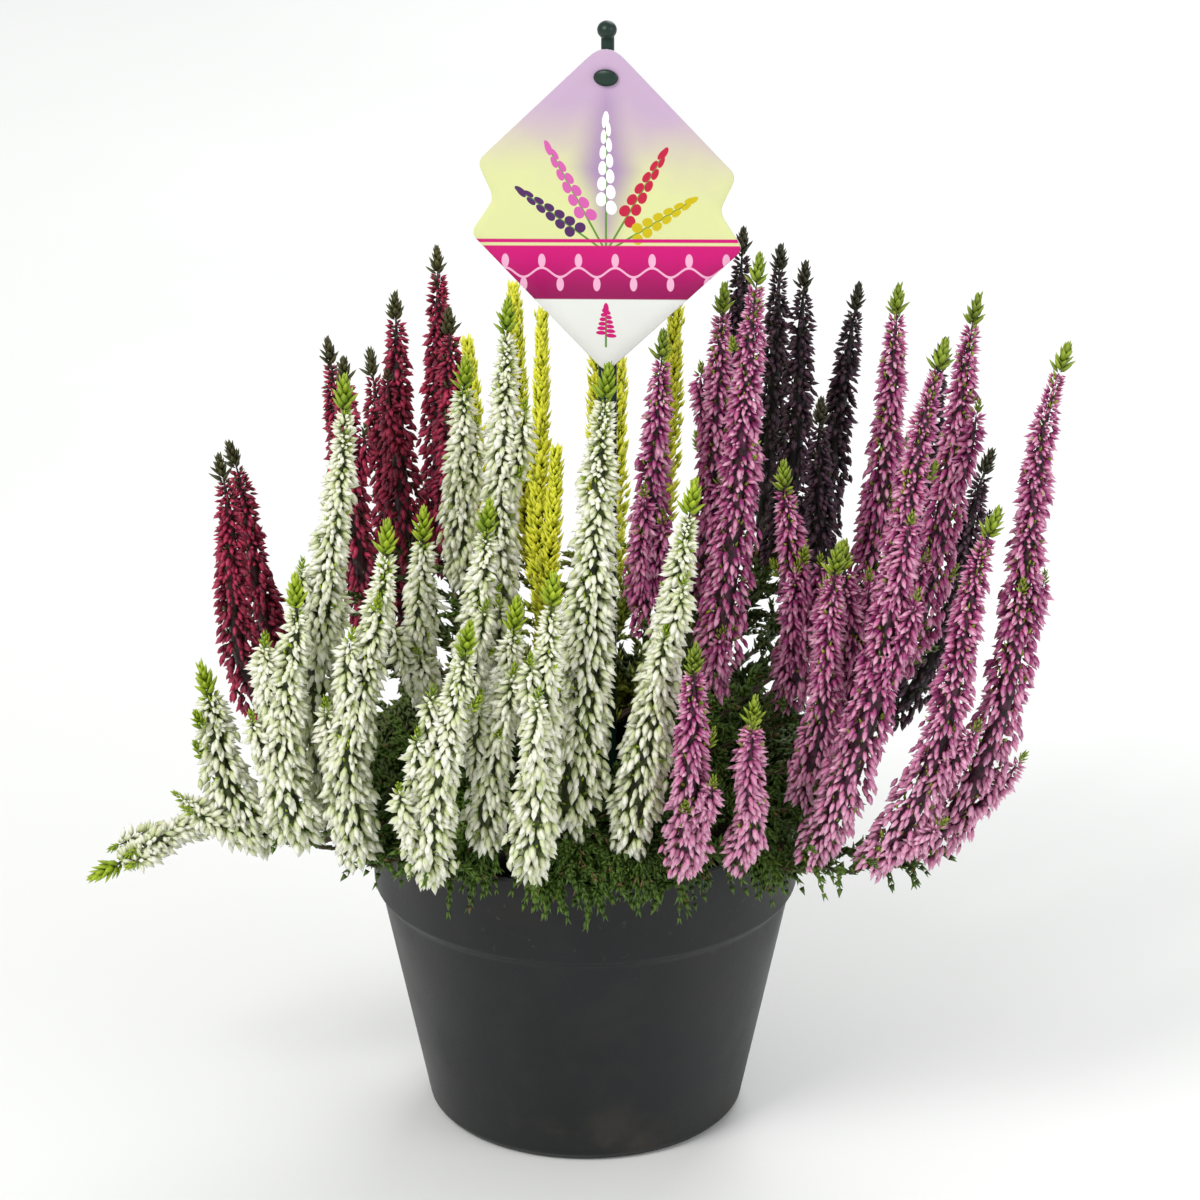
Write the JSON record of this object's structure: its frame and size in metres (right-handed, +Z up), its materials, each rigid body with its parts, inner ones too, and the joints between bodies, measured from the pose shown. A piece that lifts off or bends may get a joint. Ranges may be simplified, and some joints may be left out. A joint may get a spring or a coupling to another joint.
{
  "type": "potted heather",
  "caption": "Round nursery pot of mixed bud-flowering heather in several colours, with upright flower spikes over a leafy base and a diamond plant label on a stake.",
  "frame": {"origin": "centre of the pot's flat underside", "axes": "+Z up along the pot's axis, -Y towards the side that the label faces, +X to the right seen from there"},
  "size_m": [0.2616, 0.1808, 0.3132],
  "materials": {
    "pot_plastic": "matte",
    "peat": "moist crumbly peat",
    "stake_plastic": "satin",
    "label_card": "satin printed card",
    "white_foliage": "matte",
    "pink_foliage": "matte",
    "purple_foliage": "matte",
    "yellow_foliage": "matte",
    "red_foliage": "matte",
    "white_flowers": "matte",
    "pink_flowers": "matte",
    "purple_flowers": "matte",
    "red_flowers": "matte",
    "yellow_shoots": "matte"
  },
  "bodies": {
    "root": {"label_stake": "stake_plastic", "nursery_pot": "pot_plastic", "pink_flower_spike_01": "pink_flowers", "pink_flower_spike_02": "pink_flowers", "pink_flower_spike_03": "pink_flowers", "pink_flower_spike_04": "pink_flowers", "pink_flower_spike_05": "pink_flowers", "pink_flower_spike_06": "pink_flowers", "pink_flower_spike_07": "pink_flowers", "pink_flower_spike_08": "pink_flowers", "pink_flower_spike_09": "pink_flowers", "pink_flower_spike_10": "pink_flowers", "pink_flower_spike_11": "pink_flowers", "pink_flower_spike_12": "pink_flowers", "pink_flower_spike_13": "pink_flowers", "pink_heather_branches": "pink_foliage", "plant_label": "label_card", "potting_soil": "peat", "purple_flower_spike_01": "purple_flowers", "purple_flower_spike_02": "purple_flowers", "purple_flower_spike_03": "purple_flowers", "purple_flower_spike_04": "purple_flowers", "purple_flower_spike_05": "purple_flowers", "purple_flower_spike_06": "purple_flowers", "purple_flower_spike_07": "purple_flowers", "purple_heather_branches": "purple_foliage", "red_flower_spike_01": "red_flowers", "red_flower_spike_02": "red_flowers", "red_flower_spike_03": "red_flowers", "red_flower_spike_04": "red_flowers", "red_flower_spike_05": "red_flowers", "red_flower_spike_06": "red_flowers", "red_flower_spike_07": "red_flowers", "red_flower_spike_08": "red_flowers", "red_heather_branches": "red_foliage", "white_flower_spike_01": "white_flowers", "white_flower_spike_02": "white_flowers", "white_flower_spike_03": "white_flowers", "white_flower_spike_04": "white_flowers", "white_flower_spike_05": "white_flowers", "white_flower_spike_06": "white_flowers", "white_flower_spike_07": "white_flowers", "white_flower_spike_08": "white_flowers", "white_flower_spike_09": "white_flowers", "white_flower_spike_10": "white_flowers", "white_flower_spike_11": "white_flowers", "white_flower_spike_12": "white_flowers", "white_flower_spike_13": "white_flowers", "white_flower_spike_14": "white_flowers", "white_heather_branches": "white_foliage", "yellow_heather_branches": "yellow_foliage", "yellow_leafy_shoot_01": "yellow_shoots", "yellow_leafy_shoot_02": "yellow_shoots", "yellow_leafy_shoot_03": "yellow_shoots", "yellow_leafy_shoot_04": "yellow_shoots", "yellow_leafy_shoot_05": "yellow_shoots", "yellow_leafy_shoot_06": "yellow_shoots", "yellow_leafy_shoot_07": "yellow_shoots", "yellow_leafy_shoot_08": "yellow_shoots"}
  },
  "joints": []
}
